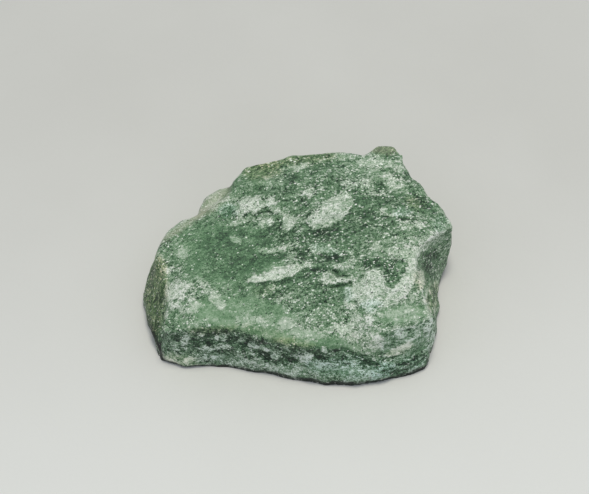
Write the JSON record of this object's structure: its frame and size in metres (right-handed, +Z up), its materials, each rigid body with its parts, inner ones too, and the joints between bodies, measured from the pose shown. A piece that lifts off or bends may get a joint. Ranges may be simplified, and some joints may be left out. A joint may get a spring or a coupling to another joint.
{
  "type": "raw jade boulder",
  "caption": "Low, broken block of raw green jade with a stepped top face, steep fractured sides and a flat place underneath to rest on.",
  "frame": {"origin": "middle of the stone's bounding box in plan, on the plane that the stone rests on", "axes": "+Z up; +X along the stone's length, towards its taller end; -Y towards the long broken front face"},
  "size_m": [0.0506, 0.0392, 0.0148],
  "materials": {
    "raw_jade": "broken, unpolished, finely glittering"
  },
  "bodies": {
    "root": {"jade_boulder": "raw_jade"}
  },
  "joints": []
}
